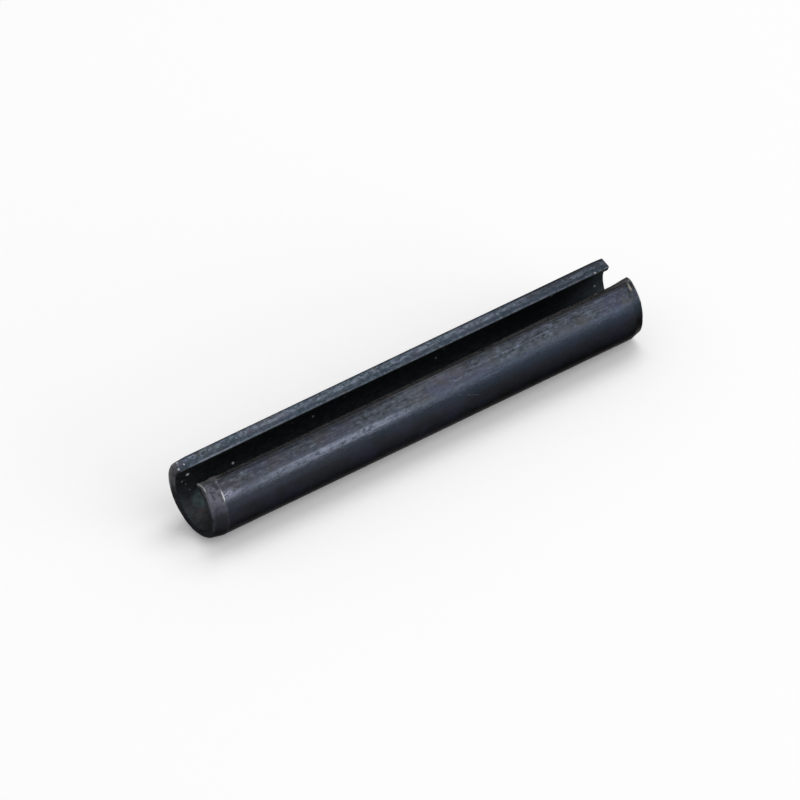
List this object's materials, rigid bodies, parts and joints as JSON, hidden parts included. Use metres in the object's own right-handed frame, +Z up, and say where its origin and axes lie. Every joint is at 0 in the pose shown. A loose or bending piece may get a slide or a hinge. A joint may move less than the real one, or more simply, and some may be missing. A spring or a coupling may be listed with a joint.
{
  "type": "slotted spring pin",
  "caption": "Slotted spring roll pin of blackened spring steel, rolled to an open C and leaded at both ends, driven into a drilled hole to fasten or locate parts.",
  "frame": {"origin": "on the surface that the pin lies on, below the middle of its length", "axes": "+X along the pin, from the end with the long lead that enters the hole first to the struck end; +Z up through the middle of the slot; +Y to one lip"},
  "size_m": [0.032, 0.0054, 0.0048],
  "materials": {
    "blackened_spring_steel": "black oxide over drawn spring steel, satin, lightly oiled"
  },
  "bodies": {
    "root": {"spring_pin": "blackened_spring_steel"}
  },
  "joints": []
}
